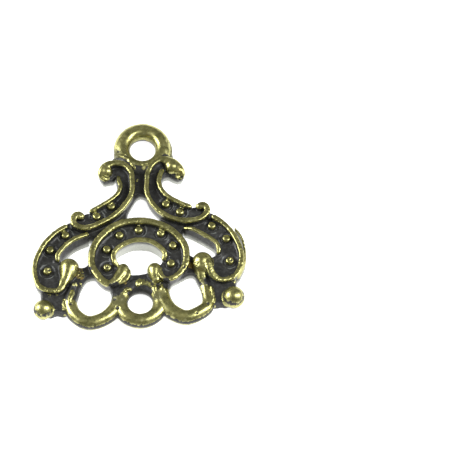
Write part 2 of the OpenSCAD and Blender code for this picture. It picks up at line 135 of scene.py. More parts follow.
# What an outer rim comes out of and runs on to: a round head, a hook or a curl.
# Columns: x, y, height, half the width
runs = {
    "middle": (
        [(-1.50, -5.55, 2.12, 0.64), (-1.65, -5.95, 2.14, 0.64), (-1.95, -6.40, 2.10, 0.56),
         (-2.40, -6.95, 2.03, 0.40)],
        [(4.70, -6.05, 2.04, 0.31), (4.15, -6.65, 2.00, 0.30), (3.60, -7.00, 1.98, 0.28),
         (3.00, -7.10, 1.98, 0.26), (2.60, -6.85, 1.98, 0.26), (2.35, -6.40, 2.00, 0.27),
         (2.25, -5.85, 2.05, 0.28)],
    ),
    "upperLeft": (
        [(-2.85, 5.70, 1.35, 0.34), (-3.10, 5.85, 1.75, 0.42), (-3.12, 6.25, 2.00, 0.47),
         (-2.80, 6.80, 2.10, 0.45), (-2.15, 7.10, 2.12, 0.36), (-1.40, 7.15, 2.12, 0.31),
         (-0.70, 6.85, 2.12, 0.29)],
        [(-4.45, -0.40, 2.12, 0.30), (-5.20, -0.55, 2.12, 0.30), (-5.85, -0.40, 2.12, 0.31),
         (-6.35, -0.05, 2.14, 0.33), (-6.45, 0.45, 2.16, 0.34), (-6.30, 0.85, 2.18, 0.37),
         (-5.95, 1.05, 2.20, 0.43), (-5.60, 0.90, 2.16, 0.42)],
    ),
    "upperRight": (
        [(5.00, 5.50, 1.35, 0.34), (5.12, 5.75, 1.80, 0.46), (4.85, 6.30, 2.05, 0.60),
         (4.35, 6.85, 2.12, 0.68), (3.75, 7.20, 2.14, 0.54), (3.10, 7.35, 2.12, 0.33),
         (2.55, 7.10, 2.12, 0.27), (2.05, 6.60, 2.12, 0.26)],
        [(5.15, -0.20, 2.14, 0.31), (5.90, -0.20, 2.12, 0.31), (6.60, -0.10, 2.12, 0.31),
         (7.20, 0.20, 2.12, 0.31), (7.60, 0.70, 2.15, 0.33), (7.60, 1.25, 2.18, 0.35),
         (7.25, 1.55, 2.20, 0.37), (6.80, 1.45, 2.16, 0.38)],
    ),
    "leftWing": (
        [],
        [(-10.35, -7.15, 1.75, 0.29), (-9.80, -7.55, 1.75, 0.28), (-9.35, -7.70, 1.78, 0.27),
         (-8.80, -7.80, 1.80, 0.28), (-8.35, -7.75, 1.85, 0.31), (-8.00, -7.35, 1.92, 0.38),
         (-7.80, -6.85, 2.02, 0.48), (-7.55, -6.35, 2.14, 0.64), (-7.35, -5.80, 2.28, 0.84),
         (-7.20, -5.35, 2.38, 0.98)],
    ),
    "rightWing": (
        [],
        [(9.45, -7.30, 1.80, 0.28), (8.75, -7.40, 1.85, 0.27), (8.20, -7.20, 2.00, 0.32),
         (7.78, -6.75, 2.14, 0.40), (7.54, -6.20, 2.30, 0.42), (7.44, -5.60, 2.42, 0.42)],
    ),
}

# Ridges that stand alone: a second lobe, a long head, the flash along the right edge, a tail
# and small streaks. Columns as in the runs
folds = [
    [(-0.98, -5.85, 1.92, 0.26), (-1.02, -6.40, 1.92, 0.27), (-1.35, -6.90, 1.88, 0.26),
     (-1.90, -7.20, 1.80, 0.22), (-2.60, -7.45, 1.72, 0.18)],
    [(1.78, -5.72, 2.14, 0.80), (1.84, -6.30, 2.02, 0.72), (1.92, -6.85, 1.76, 0.48)],
    [(10.45, -1.20, 1.55, 0.10), (10.90, -1.85, 1.52, 0.11), (11.20, -2.65, 1.45, 0.12),
     (11.32, -3.60, 1.30, 0.13), (11.30, -4.55, 1.30, 0.15), (11.15, -5.40, 1.30, 0.15),
     (10.85, -6.20, 1.30, 0.14), (10.50, -6.85, 1.30, 0.12)],
    [(6.80, -5.50, 2.32, 0.98), (6.68, -6.05, 2.00, 0.76), (6.76, -6.65, 1.66, 0.48),
     (6.95, -7.25, 1.36, 0.28)],
    [(-0.33, 7.62, 1.92, 0.10), (-0.05, 7.15, 1.90, 0.10), (0.30, 6.55, 1.76, 0.10)],
    [(-1.75, 8.55, 1.36, 0.10), (-1.36, 8.15, 1.72, 0.10), (-1.05, 8.05, 1.86, 0.10),
     (-0.53, 7.70, 1.92, 0.09)],
    [(1.58, 7.00, 1.90, 0.10), (1.24, 6.45, 1.65, 0.12)],
    [(3.98, 10.15, 0.95, 0.14), (4.14, 9.45, 1.10, 0.20), (4.16, 8.80, 1.15, 0.22),
     (4.08, 8.25, 1.00, 0.18)],
    [(0.18, -6.75, 1.50, 0.14), (0.00, -7.15, 1.64, 0.20), (-0.07, -7.50, 1.64, 0.14)],
    [(0.35, -7.38, 1.62, 0.12), (0.88, -7.33, 1.68, 0.18), (1.23, -7.70, 1.60, 0.12)],
    [(-1.70, -8.52, 1.58, 0.12), (-1.37, -8.14, 1.64, 0.16), (-1.15, -7.98, 1.64, 0.15),
     (-0.83, -7.95, 1.60, 0.10)],
    [(1.69, -7.90, 1.72, 0.22), (1.67, -8.40, 1.62, 0.14), (1.80, -9.00, 1.60, 0.12)],
    [(2.45, -7.55, 1.55, 0.12), (2.53, -8.08, 1.70, 0.18), (2.77, -8.45, 1.62, 0.12)],
    [(-6.90, -7.90, 1.62, 0.14), (-7.12, -8.50, 1.66, 0.20), (-7.31, -9.00, 1.62, 0.14)],
    [(-7.87, -8.66, 1.30, 0.10), (-7.91, -9.17, 1.35, 0.10), (-7.85, -9.81, 1.40, 0.10)],
    [(7.60, -7.90, 1.32, 0.12), (7.72, -8.60, 1.36, 0.14), (7.74, -9.30, 1.32, 0.14),
     (7.62, -9.90, 1.20, 0.12)],
]

# Round heads that a rim only touches. Columns: x, y, height, radius
heads = [
    (-7.15, -5.05, 2.44, 1.04), (6.84, -5.05, 2.46, 1.12), (-2.70, 6.40, 2.12, 0.66),
    (4.24, 6.60, 2.20, 0.76),
]

# Half widths of the crests, and how far a wall leans out by the time it reaches the back
rims = {
    "outerHalfWidth": {"middle": 0.37, "upperLeft": 0.28, "upperRight": 0.26,
                       "leftWing": 0.26, "rightWing": 0.27},
    "innerHalfWidth": {"middle": 0.26, "upperLeft": 0.22, "upperRight": 0.25,
                       "leftWing": 0.24, "rightWing": 0.21},
    "outerLean": {"middle": -0.34, "upperLeft": -0.20, "upperRight": -0.20,
                  "leftWing": -0.20, "rightWing": -0.20},
    "innerLean": {"middle": -0.10, "upperLeft": 0.05, "upperRight": 0.05,
                  "leftWing": 0.36, "rightWing": 0.20},
    "floorDip": 0.08,    # how much lower a channel's middle is than its sides
    "ledge": 0.07,       # a narrow step along both rims of a channel
    "ledgeFrom": 0.60,
    "steps": 6,
    "slimHalf": 0.35,    # up to this half width a rim has a flat top
    "slimToWide": 0.30,  # and this much wider it is quite round
    "footShare": 0.66,   # the foot under a round end, against its radius
}

# Balls on the outer corners. Columns: x, y, height of the centre, radius
cornerBalls = [(-10.10, -9.70, 1.05, 1.03), (9.90, -9.30, 1.16, 1.16)]

# Small flat-topped beads in the channels. Columns: x, y, floor height
beads = {
    "radius": 0.45,
    "rise": 0.32,
    "root": 0.40,
    "rounding": 0.24,
    "places": [
        (-3.15, -5.20, 1.34), (-3.10, -3.05, 1.44), (-1.70, -1.45, 1.52), (0.35, -0.95, 1.60),
        (2.65, -1.45, 1.57), (3.85, -2.95, 1.48), (3.55, -5.05, 1.38),
        (-2.35, 2.20, 1.35), (-3.95, 1.05, 1.35), (3.35, 2.15, 1.35), (4.80, 1.15, 1.35),
        (-7.35, -1.00, 1.28), (-9.05, -2.70, 1.24), (-9.45, -5.20, 1.18),
        (8.05, -0.70, 1.33), (9.50, -2.30, 1.28), (9.70, -4.95, 1.21),
    ],
    "moatInner": 0.47,
    "moatOuter": 0.82,
    "moatDepth": 0.10,
    "glintWidth": 0.06,
    "glintLength": 0.8,
}

# The inner and outer numbers are half widths of the wire on either side of its crest
hangingRing = {"at": (1.25, 9.05), "middle": 2.04, "inner": 0.71, "outer": 1.04, "rise": 0.92,
               "height": 0.92, "stretch": (0.99, 1.04)}
middleLoop = {"at": (0.10, -9.35), "middle": 2.06, "inner": 0.78, "outer": 0.82, "rise": 0.80,
              "height": 0.74, "stretch": (1.0, 1.0)}

# Wires of the two outer loops. Columns: x, y, height of the wire's centre, radius
outerLoops = [
    [(-6.55, -6.80, 1.15, 0.45), (-6.95, -7.70, 0.95, 0.58), (-7.25, -8.75, 0.80, 0.72),
     (-6.85, -10.30, 0.74, 0.77), (-5.50, -11.36, 0.74, 0.77), (-3.75, -10.95, 0.74, 0.78),
     (-2.45, -9.70, 0.76, 0.80), (-2.10, -8.20, 0.80, 0.70)],
    [(6.50, -6.50, 1.15, 0.48), (6.92, -7.50, 0.94, 0.46), (7.08, -8.60, 0.88, 0.50),
     (7.18, -9.60, 0.78, 0.66), (6.75, -10.45, 0.74, 0.76), (4.95, -11.25, 0.74, 0.80),
     (3.45, -10.55, 0.74, 0.84), (2.60, -9.40, 0.76, 0.90), (2.40, -8.00, 0.80, 0.80)],
]

# Sunken webs between the ornaments: height of the top, then the plan outline
webs = {
    "cornerRadius": 0.25,
    "slope": 0.16,
    "slopeHeight": 0.45,
    "outlines": {
        "neck": (1.15, [
            (-0.45, 7.20), (1.90, 7.20), (1.80, 4.40), (1.80, 3.20), (2.20, 2.20), (1.55, 2.75),
            (1.40, 3.20), (1.10, 3.55), (0.75, 3.68), (0.45, 3.55), (0.15, 3.20), (-0.15, 2.60),
            (-0.75, 2.20), (-0.40, 3.20), (-0.30, 4.40),
        ]),
        "left ear": (1.20, [
            (-2.05, 8.30), (-0.50, 8.10), (0.20, 6.60), (-1.50, 6.70), (-2.10, 7.20),
        ]),
        "right ear": (1.20, [
            (2.20, 6.90), (2.20, 8.40), (4.35, 8.80), (4.45, 8.10), (4.20, 7.30), (3.60, 6.90),
        ]),
        "left hook": (1.30, [
            (-0.20, 6.30), (-0.30, 5.30), (-1.30, 5.30), (-1.50, 5.40), (-1.70, 5.85), (-2.00, 5.50),
            (-2.55, 5.45), (-3.05, 5.30), (-3.30, 5.80), (-2.95, 6.70), (-2.20, 7.05), (-1.40, 7.10),
            (-0.60, 6.80),
        ]),
        "right hook": (1.25, [
            (1.80, 6.60), (1.90, 5.30), (2.70, 5.30), (3.20, 5.60), (3.45, 5.75), (3.80, 5.80),
            (4.20, 5.50), (4.80, 5.20), (5.20, 5.45), (5.00, 6.20), (4.40, 6.90), (3.70, 7.20),
            (3.00, 7.30), (2.40, 7.00),
        ]),
        "left shoulder": (1.15, [
            (0.10, 3.15), (-0.68, 1.62), (-0.90, 0.05), (-2.60, -0.60), (-4.10, -1.95), (-4.60, -1.40),
            (-5.20, -1.45), (-7.00, -1.60), (-8.20, -0.90), (-7.60, 0.15), (-7.00, 0.75), (-6.20, 0.75),
            (-4.90, 0.10), (-1.50, 1.60), (-0.40, 3.00),
        ]),
        "right shoulder": (1.15, [
            (1.60, 3.10), (2.48, 1.65), (2.62, 0.90), (2.45, -0.35), (3.50, -1.20), (4.60, -2.50),
            (4.95, -1.00), (5.30, -0.85), (6.20, -1.20), (8.20, -1.20), (8.90, -0.20), (8.55, 0.60),
            (8.25, 1.15), (7.70, 1.10), (6.00, 0.20), (2.60, 1.50), (1.75, 2.60),
        ]),
        "left joint": (1.15, [
            (-4.55, -3.90), (-5.10, -4.35), (-5.50, -4.75), (-6.20, -4.80), (-6.80, -5.40),
            (-7.60, -7.00), (-7.40, -9.00), (-6.60, -9.10), (-6.32, -8.30), (-6.07, -7.40),
            (-5.62, -6.50), (-5.30, -6.10), (-4.72, -5.93), (-4.30, -6.00), (-3.80, -6.40),
            (-4.20, -5.00),
        ]),
        "right joint": (1.15, [
            (5.00, -3.00), (5.60, -3.80), (6.10, -4.20), (6.80, -4.80), (7.60, -6.60), (7.60, -8.60),
            (7.20, -9.40), (6.62, -8.60), (6.42, -7.65), (6.15, -6.95), (5.90, -6.25), (5.48, -6.15),
            (5.05, -6.30), (4.45, -6.70), (4.10, -6.50), (4.80, -5.00),
        ]),
        "bar under the middle scroll": (1.15, [
            (-2.40, -5.80), (-0.60, -5.92), (0.25, -5.92), (0.85, -5.80), (2.60, -5.80), (4.60, -6.30),
            (4.45, -6.72), (3.95, -6.90), (3.50, -7.20), (3.25, -7.80), (2.70, -8.40), (1.60, -7.70),
            (-1.40, -7.70), (-2.60, -8.60), (-2.90, -8.05), (-3.00, -7.45), (-3.60, -6.70),
            (-3.20, -6.30),
        ]),
        "left end of the middle scroll": (1.30, [
            (-3.80, -6.80), (-3.10, -7.30), (-2.40, -7.05), (-1.90, -6.50), (-1.50, -5.80),
            (-2.10, -4.90), (-3.50, -5.20),
        ]),
        "right end of the middle scroll": (1.34, [
            (5.00, -5.30), (4.70, -6.05), (4.15, -6.65), (3.60, -7.00), (3.00, -7.10), (2.55, -6.85),
            (2.20, -6.20), (1.95, -5.40), (2.40, -4.90), (2.70, -4.40),
        ]),
        "left wing's end": (1.15, [
            (-10.60, -6.60), (-10.30, -7.15), (-9.80, -7.55), (-8.80, -7.78), (-8.30, -7.70),
            (-7.80, -6.90), (-7.40, -5.60), (-7.50, -4.60), (-9.00, -5.40),
        ]),
        "right wing's end": (1.18, [
            (10.10, -6.90), (9.45, -7.30), (8.75, -7.40), (8.15, -7.20), (7.75, -6.75), (7.50, -6.10),
            (7.20, -5.10), (7.60, -4.60), (9.00, -5.20),
        ]),
        "left corner": (1.10, [
            (-10.30, -7.10), (-7.00, -7.20), (-7.10, -9.90), (-8.05, -10.25), (-8.60, -9.98),
            (-9.40, -10.35), (-10.30, -9.20),
        ]),
        "right corner": (1.10, [
            (7.00, -6.90), (10.60, -6.70), (10.25, -7.40), (10.35, -8.30), (9.60, -9.80), (8.94, -10.00),
            (8.50, -9.86), (8.10, -10.00), (7.20, -9.90),
        ]),
        "left curl": (1.35, [
            (-3.60, 0.00), (-4.45, -0.40), (-5.20, -0.50), (-5.85, -0.40), (-6.35, 0.00), (-6.45, 0.60),
            (-6.10, 1.10), (-5.50, 1.40), (-5.05, 1.65), (-4.50, 1.60),
        ]),
        "right curl": (1.35, [
            (4.20, 0.05), (5.15, -0.18), (5.90, -0.20), (6.60, -0.10), (7.20, 0.20), (7.60, 0.80),
            (7.40, 1.50), (6.70, 1.80), (6.20, 1.85), (5.80, 1.70),
        ]),
    },
}

# Spots on the piece. Columns: x, y, radius
marks = {
    "pits": [
        (-1.33, 8.67, 0.14), (-0.58, 8.08, 0.10), (-7.20, -9.40, 0.20), (7.15, -10.05, 0.20),
        (-9.25, -5.20, 0.16), (-3.12, -5.20, 0.13), (2.55, -1.50, 0.08), (-2.32, -10.10, 0.24),
        (2.57, -11.10, 0.22), (9.95, -6.60, 0.20), (4.90, -5.85, 0.16), (9.85, -5.00, 0.15),
        (-2.58, -9.06, 0.20), (5.20, 5.40, 0.12), (4.95, 5.20, 0.12), (5.95, -11.15, 0.14),
    ],
    "pitDepth": 0.10,
    "flecks": [
        (0.55, -7.00, 0.45), (1.70, -7.60, 0.30), (2.60, -7.75, 0.28), (-1.30, -7.95, 0.28),
        (0.52, 5.35, 0.22), (0.90, 7.00, 0.40), (-6.60, -7.15, 0.32), (-6.05, -6.90, 0.28),
        (-6.00, -5.80, 0.60), (-6.20, -5.10, 0.35), (-8.60, -8.00, 0.30), (-9.40, -8.05, 0.30),
        (7.05, -7.60, 0.25), (6.05, -5.50, 0.35), (-8.95, -9.60, 0.35), (-2.05, -8.90, 0.50),
        (10.15, -7.35, 0.30),
    ],
    "dark": [
        (-2.40, -7.95, 0.95), (2.87, -7.40, 0.50), (7.25, -7.30, 0.50), (-5.10, -5.60, 0.40),
    ],
    # Spots where the brass is painted darker as shade
    "shaded": [
        (-2.20, -9.10, 1.00), (-1.70, 8.35, 0.80), (7.00, -7.30, 0.50), (2.00, -8.90, 0.60),
    ],
    "fleckHeight": 0.050,
    "fleckSize": 0.16,
    "amber": [
        (-6.05, -5.10, 0.55), (-6.05, -6.00, 0.55), (5.75, -5.25, 0.60), (1.85, 10.45, 0.35),
        (-0.38, 8.73, 0.30), (5.10, 5.90, 0.50), (6.60, -6.25, 0.50), (-0.10, 9.95, 0.30),
        (-1.40, -7.00, 0.40), (11.25, -4.90, 0.50),
    ],
}


# How the finish is worn, and where shade is painted. Depths are in millimetres below a crest. The strips
# are painted shade; a strip's middle and width are heights above the centre of a wire or ball, against
# its radius
wearAndShade = {
    "crestDepth": 0.22,        # a rim is bare this far down, and further on its outer side
    "outerSideDepth": 0.30,
    "headDepth": 1.25,         # and on a wide head, for each millimetre of half width past a slim rim's
    "streakHalf": 0.19,        # streaks up to this half width are bare further down too
    "streakDepth": 0.22,
    # Strips of painted shade on the loops and on the corner balls
    "loopShadeStrength": 0.92,
    "loopShadeBand": (0.20, 0.34),
    "ballShadeStrength": 0.62,
    "ballShadeBand": (0.36, 0.30),
    "ringFrom": (5.0, 6.0),    # between these y the loops' finish gives way to the ring's
    "fleckBareness": 0.85,
    "backBareness": 0.55,
    "steps": 14,
    "ringSteps": 120,
}


def smoothPath(rows, steps):
    # Catmull-Rom through the rows, with every column carried along
    points = [Vector(row) for row in rows]
    last = len(points) - 1
    path = []
    for i in range(last):
        a, b = points[max(i - 1, 0)], points[i]
        c, d = points[i + 1], points[min(i + 2, last)]
        for k in range(steps):
            t = k / steps
            bend = (2 * a - 5 * b + 4 * c - d) * t * t + (3 * b - 3 * c + d - a) * t ** 3
            path.append(0.5 * (2 * b + (c - a) * t + bend))
    return path + [points[last]]


def extrudeAlong(bm, path, segments, place):
    # A round section extruded from row to row. place moves each of its points, given its shares
    # across and up
    across = bm.verts.layers.float.new("across")
    up = bm.verts.layers.float.new("up")
    ring = bmesh.ops.create_circle(bm, segments=segments, radius=1.0)["verts"]
    for v in ring:
        v[across], v[up] = v.co.x, v.co.y
    edges = list({e for v in ring for e in v.link_edges})
    firstEdges = edges
    for i, row in enumerate(path):
        if i:
            new = bmesh.ops.extrude_edge_only(bm, edges=edges)["geom"]
            ring = [g for g in new if isinstance(g, bmesh.types.BMVert)]
            fresh = set(ring)
            edges = [g for g in new if isinstance(g, bmesh.types.BMEdge) and fresh.issuperset(g.verts)]
        ahead = path[min(i + 1, len(path) - 1)] - path[max(i - 1, 0)]
        side = Vector((ahead[1], -ahead[0])).normalized()
        for v in ring:
            v.co = place(row, side, v[across], v[up])
    bmesh.ops.contextual_create(bm, geom=firstEdges)
    bmesh.ops.contextual_create(bm, geom=edges)


def rimPoint(row, side, a, b):
    # row: x, y, height, half width, lean. A slim rim has a flat top and soft shoulders, and a wide
    # head is round
    x, y, top, half, lean = row
    wide = min(max((half - rims["slimHalf"]) / rims["slimToWide"], 0), 1)
    power = 2 / (3 - wide)
    rise = half * (0.65 + 0.35 * wide)
    if b > -0.1:
        shift = math.copysign(abs(a) ** power, a) * half
        height = top - rise * (1 - max(b, 0) ** power)
    else:
        shift, height = a * max(half + lean, 0.04), 0.0
    return x + side.x * shift, y + side.y * shift, height


def wirePoint(row, side, a, b):
    # row: x, y, height of the wire's centre, radius
    x, y, mid, radius = row
    return x + side.x * a * radius, y + side.y * a * radius, max(mid + b * radius, 0.0)


def floorPoint(row, side, a, b):
    # row as in the bands: the floor reaches from the outer rim to the inner one
    outer, inner = Vector(row[0:2]), Vector(row[3:5])
    spot = outer.lerp(inner, 0.5 + 0.5 * a)
    if b < -0.1:
        return spot.x, spot.y, 0.0
    ledge = rims["ledge"] if abs(a) > rims["ledgeFrom"] else 0
    return spot.x, spot.y, row[6] - rims["floorDip"] * (1 - a * a) + ledge


def addRim(bm, rows):
    extrudeAlong(bm, smoothPath(rows, rims["steps"]), casting["rimSides"], rimPoint)


def addFloor(bm, rows):
    extrudeAlong(bm, smoothPath(rows, rims["steps"]), casting["roundSides"], floorPoint)


def addWire(bm, rows):
    extrudeAlong(bm, smoothPath(rows, rims["steps"]), casting["wireSides"], wirePoint)


def addPost(bm, x, y, radius, top):
    stand = Matrix.Translation((x, y, top / 2))
    bmesh.ops.create_cone(bm, cap_ends=True, segments=casting["roundSides"], radius1=radius,
                          radius2=radius, depth=top, matrix=stand)


def addBall(bm, x, y, mid, radius):
    bmesh.ops.create_uvsphere(bm, u_segments=casting["roundSides"], v_segments=casting["ballRows"],
                              radius=radius, matrix=Matrix.Translation((x, y, mid)))


def addBead(bm, x, y, floor):
    # A short post with a rounded upper edge
    tall = beads["rise"] + beads["root"]
    stand = Matrix.Translation((x, y, floor + beads["rise"] - tall / 2))
    radius = beads["radius"]
    bmesh.ops.create_cone(bm, cap_ends=True, segments=casting["roundSides"], radius1=radius,
                          radius2=radius, depth=tall, matrix=stand)
    topEdges = [e for e in bm.edges if min(v.co.z for v in e.verts) > floor]
    bmesh.ops.bevel(bm, geom=topEdges, offset=beads["rounding"], segments=4, affect="EDGES",
                    profile=0.5, material=-1)


def addRing(bm, ring):
    # A section stood up beside the hole, wider on its outer side, and spun all the way round
    upright = Matrix.Rotation(math.pi / 2, 4, "X")
    stand = Matrix.Translation((ring["middle"], 0, ring["height"])) @ upright
    section = bmesh.ops.create_circle(bm, segments=casting["roundSides"], radius=1.0, matrix=stand)
    section = section["verts"]
    for v in section:
        out = v.co.x - ring["middle"]
        v.co.x = ring["middle"] + out * (ring["outer"] if out > 0 else ring["inner"])
        v.co.z = ring["height"] + (v.co.z - ring["height"]) * ring["rise"]
    edges = list({e for v in section for e in v.link_edges})
    bmesh.ops.spin(bm, geom=section + edges, cent=(0, 0, 0), axis=(0, 0, 1), angle=2 * math.pi,
                   steps=casting["ringSteps"], use_merge=True)
    bmesh.ops.scale(bm, vec=(*ring["stretch"], 1), verts=bm.verts)
    bmesh.ops.translate(bm, vec=(*ring["at"], 0), verts=bm.verts)


def addWeb(bm, top, outline):
    corners = [bm.verts.new((x, y, 0)) for x, y in outline]
    bm.faces.new(corners)
    bmesh.ops.bevel(bm, geom=corners, offset=webs["cornerRadius"], segments=4, affect="VERTICES",
                    profile=0.5, material=-1, clamp_overlap=True)
    raised = bmesh.ops.extrude_face_region(bm, geom=bm.faces[:], use_keep_orig=True)["geom"]
    upper = [g for g in raised if isinstance(g, bmesh.types.BMVert)]
    lid = [g for g in raised if isinstance(g, bmesh.types.BMFace)]
    bmesh.ops.translate(bm, vec=(0, 0, top - webs["slopeHeight"]), verts=upper)
    bmesh.ops.inset_region(bm, faces=lid, thickness=webs["slope"], depth=0, use_even_offset=True)
    lidVerts = list({v for f in lid for v in f.verts})
    bmesh.ops.translate(bm, vec=(0, 0, webs["slopeHeight"]), verts=lidVerts)


def addSolid(whole, shape, *args):
    # Builds one closed solid and puts it into the whole, with its faces turned outwards
    bm = bmesh.new()
    shape(bm, *args)
    bmesh.ops.recalc_face_normals(bm, faces=bm.faces)
    solid = bpy.data.meshes.new("solid")
    bm.to_mesh(solid)
    bm.free()
    whole.from_mesh(solid)
    bpy.data.meshes.remove(solid)


def addRoundedRim(whole, rows, lean):
    # A rim with a ball at either end of its crest, so that it ends round
    addSolid(whole, addRim, [(*row, lean) for row in rows])
    for x, y, top, half in (rows[0], rows[-1]):
        addSolid(whole, addBall, x, y, top - half, half)
        addSolid(whole, addPost, x, y, half * rims["footShare"], top - half * 0.9)


def outerRim(name):
    before, after = runs[name]
    half = rims["outerHalfWidth"][name]
    return before + [(row[0], row[1], row[2], half) for row in bands[name]] + after


def innerRim(name):
    half = rims["innerHalfWidth"][name]
    return [(row[3], row[4], row[5], half) for row in bands[name][:innerRows[name]]]


def headBalls():
    return [(x, y, top - radius, radius) for x, y, top, radius in heads]


def castingSolids():
    whole = bmesh.new()
    for name in bands:
        addSolid(whole, addFloor, bands[name])
        addRoundedRim(whole, outerRim(name), rims["outerLean"][name])
        addRoundedRim(whole, innerRim(name), rims["innerLean"][name])
    for rows in folds:
        addRoundedRim(whole, rows, 0.0)
    for x, y, mid, radius in cornerBalls + headBalls():
        addSolid(whole, addBall, x, y, mid, radius)
        addSolid(whole, addPost, x, y, radius * rims["footShare"], mid)
    for x, y, floor in beads["places"]:
        addSolid(whole, addBead, x, y, floor)
    for top, outline in webs["outlines"].values():
        addSolid(whole, addWeb, top, outline)
    for ring in (hangingRing, middleLoop):
        addSolid(whole, addRing, ring)
    for rows in outerLoops:
        addSolid(whole, addWire, rows)
    for v in whole.verts:
        v.co.z = max(v.co.z, 0.0)    # flat back
    mesh = bpy.data.meshes.new("casting_body")
    whole.to_mesh(mesh)
    whole.free()
    return mesh


def applyModifiers(piece):
    view = bpy.context.evaluated_depsgraph_get()
    view.update()
    old = piece.data
    piece.data = bpy.data.meshes.new_from_object(piece.evaluated_get(view))
    piece.modifiers.clear()
    bpy.data.meshes.remove(old)


def fuse(piece):
    # One skin over all the solids, softened so that every inner corner has a cast fillet
    skin = piece.modifiers.new("skin", "REMESH")
    skin.mode = "VOXEL"
    skin.voxel_size = casting["voxel"]
    soften = piece.modifiers.new("soften", "SMOOTH")
    soften.factor = 0.5
    soften.iterations = casting["softening"]
    applyModifiers(piece)
    print("fused:", len(piece.data.polygons), "faces")


def thin(piece):
    triangles = sum(len(p.vertices) - 2 for p in piece.data.polygons)
    fewer = piece.modifiers.new("fewer", "DECIMATE")
    fewer.ratio = min(1.0, casting["mostTriangles"] / triangles)
    applyModifiers(piece)
    print("thinned:", len(piece.data.polygons), "faces")


def readVectors(mesh, what):
    values = np.zeros(len(mesh.vertices) * 3, np.float32)
    mesh.vertices.foreach_get(what, values)
    return values.reshape(-1, 3).astype(float)


def writePoints(mesh, points):
    mesh.vertices.foreach_set("co", points.astype(np.float32).ravel())
    mesh.update()


def fade(values, low, high):
    # 0 below low, 1 above high, smooth between
    t = np.clip((values - low) / (high - low), 0, 1)
    return t * t * (3 - 2 * t)


def strip(values, middle, width):
    # 1 at the middle, and fading softly to 0 on either side
    return np.exp(-((values - middle) / width) ** 2)


def bumps(points, pitch, seed):
    # Smooth seeded noise from about -1 to 1, with bumps about a pitch apart
    offset = Vector((seed * 7.3, seed * 3.1, seed * 5.7))
    return np.array([noise.noise(Vector(p) / pitch + offset) for p in points])


def nearestRow(points, rows):
    # For each point, the row that is nearest to it as seen from above
    tree = KDTree(len(rows))
    for i, row in enumerate(rows):
        tree.insert((row[0], row[1], 0), i)
    tree.balance()
    found = [tree.find((p[0], p[1], 0)) for p in points]
    return rows[[f[1] for f in found]], np.array([f[2] for f in found])


def rimSamples():
    # Columns: x, y, height, half width, and the direction from an outer rim to its channel
    samples = []
    for name in bands:
        half = rims["outerHalfWidth"][name]
        for row in smoothPath(bands[name], wearAndShade["steps"]):
            samples.append((row[0], row[1], row[2], half, row[3] - row[0], row[4] - row[1]))
        before, after = runs[name]
        outer = outerRim(name)
        leadIn = before + [outer[len(before)]]
        leadOut = [outer[-len(after) - 1]] + after
        for rows in (leadIn, leadOut, innerRim(name)):
            if len(rows) > 1:
                samples += [(*row, 0, 0) for row in smoothPath(rows, wearAndShade["steps"])]
    for rows in folds:
        samples += [(*row, 0, 0) for row in smoothPath(rows, wearAndShade["steps"])]
    return np.array(samples)


def ridgeness(points):
    # 1 on the crests of the rims and heads, and less down their sides; more of an outer side is bare.
    # Also gives the half width of the nearest rim
    rows, away = nearestRow(points, rimSamples())
    half = rows[:, 3]
    inward = np.hypot(rows[:, 4], rows[:, 5]) + 1e-6
    across = (points[:, 0] - rows[:, 0]) * rows[:, 4] + (points[:, 1] - rows[:, 1]) * rows[:, 5]
    outside = -across / inward
    bareDepth = wearAndShade["crestDepth"] + wearAndShade["outerSideDepth"] * fade(outside / half, 0.4, 0.9)
    bareDepth += np.maximum(half - rims["slimHalf"], 0) * wearAndShade["headDepth"]
    bareDepth += wearAndShade["streakDepth"] * (half < wearAndShade["streakHalf"])
    depth = (rows[:, 2] - points[:, 2]) / bareDepth
    return (1 - fade(depth, 0.75, 1.3)) * (1 - fade(away / half, 1.2, 1.7)), half


def wireLift(points):
    # Height above the middle of the nearest wire and distance from it, both against the wire's radius
    samples = []
    for rows in outerLoops:
        samples += [tuple(row) for row in smoothPath(rows, wearAndShade["steps"])]
    for ring in (hangingRing, middleLoop):
        for k in range(wearAndShade["ringSteps"]):
            turn = Matrix.Rotation(2 * math.pi * k / wearAndShade["ringSteps"], 2)
            spot = Vector(ring["at"]) + (turn @ Vector((ring["middle"], 0))) * Vector(ring["stretch"])
            samples.append((spot.x, spot.y, ring["height"], ring["rise"]))
    rows, away = nearestRow(points, np.array(samples))
    return (points[:, 2] - rows[:, 2]) / rows[:, 3], away / rows[:, 3]


def wireness(points):
    # 1 where the ring and the loops are bare. The loops have a strip of painted shade above the parting
    # line
    lift, away = wireLift(points)
    fromRing = np.hypot(points[:, 0] - hangingRing["at"][0], points[:, 1] - hangingRing["at"][1])
    inHole = (1 - fade(fromRing, 1.50, 1.65)) * 0.55    # the ring is dark further up on its inner side
    onLoops = 1 - fade(points[:, 1], *wearAndShade["ringFrom"])
    # Painted shade: a dark strip a little above the middle of the loops' wires
    shade = wearAndShade["loopShadeStrength"] * onLoops * strip(lift, *wearAndShade["loopShadeBand"])
    bare = fade(lift, -0.75 + inHole, -0.5 + inHole) * (1 - shade) * (1 - fade(away, 1.2, 1.4))
    x, y = points[:, 0], points[:, 1]
    acrossLoop, upLoop = np.abs(x - middleLoop["at"][0]), y - middleLoop["at"][1]
    loopTop = fade(upLoop - 0.35 * acrossLoop, 0.30, 0.60) * (1 - fade(acrossLoop, 1.9, 2.2)) * (y < 0)
    ringFoot = fade(fromRing, 2.25, 2.45) * (1 - fade(y, 7.95, 8.20)) * (y > 0)
    underWings = (np.abs(x) > 5) * (y < 0)
    loopTops = np.where(x < 0, fade(y, -9.1, -8.6), fade(y, -8.0, -7.4)) * underWings
    return bare * (1 - 0.95 * loopTop) * (1 - 0.95 * ringFoot) * (1 - loopTops)


